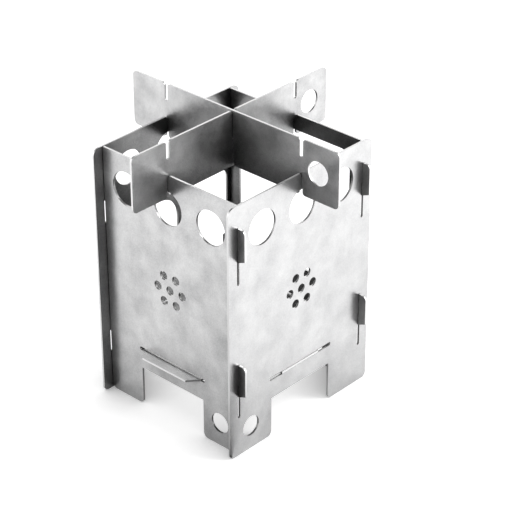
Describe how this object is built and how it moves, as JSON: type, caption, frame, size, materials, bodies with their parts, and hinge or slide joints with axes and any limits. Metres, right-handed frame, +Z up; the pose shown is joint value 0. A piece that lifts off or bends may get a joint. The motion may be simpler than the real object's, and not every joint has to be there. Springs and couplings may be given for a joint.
{
  "type": "pocket stove",
  "caption": "Flat-pack wood-burning pocket stove of stainless sheet, with plug-together walls, a burn floor and crossing pot bars.",
  "frame": {"origin": "on the ground, under the middle of the fire chamber", "axes": "+Z up, +X along the front wall to the right, +Y from the front wall to the back wall"},
  "size_m": [0.122, 0.122, 0.141],
  "materials": {
    "wall_sheet": "satin",
    "floor_sheet": "satin",
    "bar_sheet": "satin"
  },
  "bodies": {
    "firebox": {"front_wall": "wall_sheet", "back_wall": "wall_sheet", "left_wall": "wall_sheet", "right_wall": "wall_sheet", "burn_floor": "floor_sheet"},
    "lower_bar": {"side_to_side_pot_bar": "bar_sheet"},
    "upper_bar": {"front_to_back_pot_bar": "bar_sheet"}
  },
  "joints": [
    {"name": "lift_lower_bar", "type": "slide", "parent": "firebox", "child": "lower_bar", "axis": [0, 0, 1], "range_m": [0, 0.035]},
    {"name": "lift_upper_bar", "type": "slide", "parent": "lower_bar", "child": "upper_bar", "axis": [0, 0, 1], "range_m": [0, 0.035]}
  ]
}
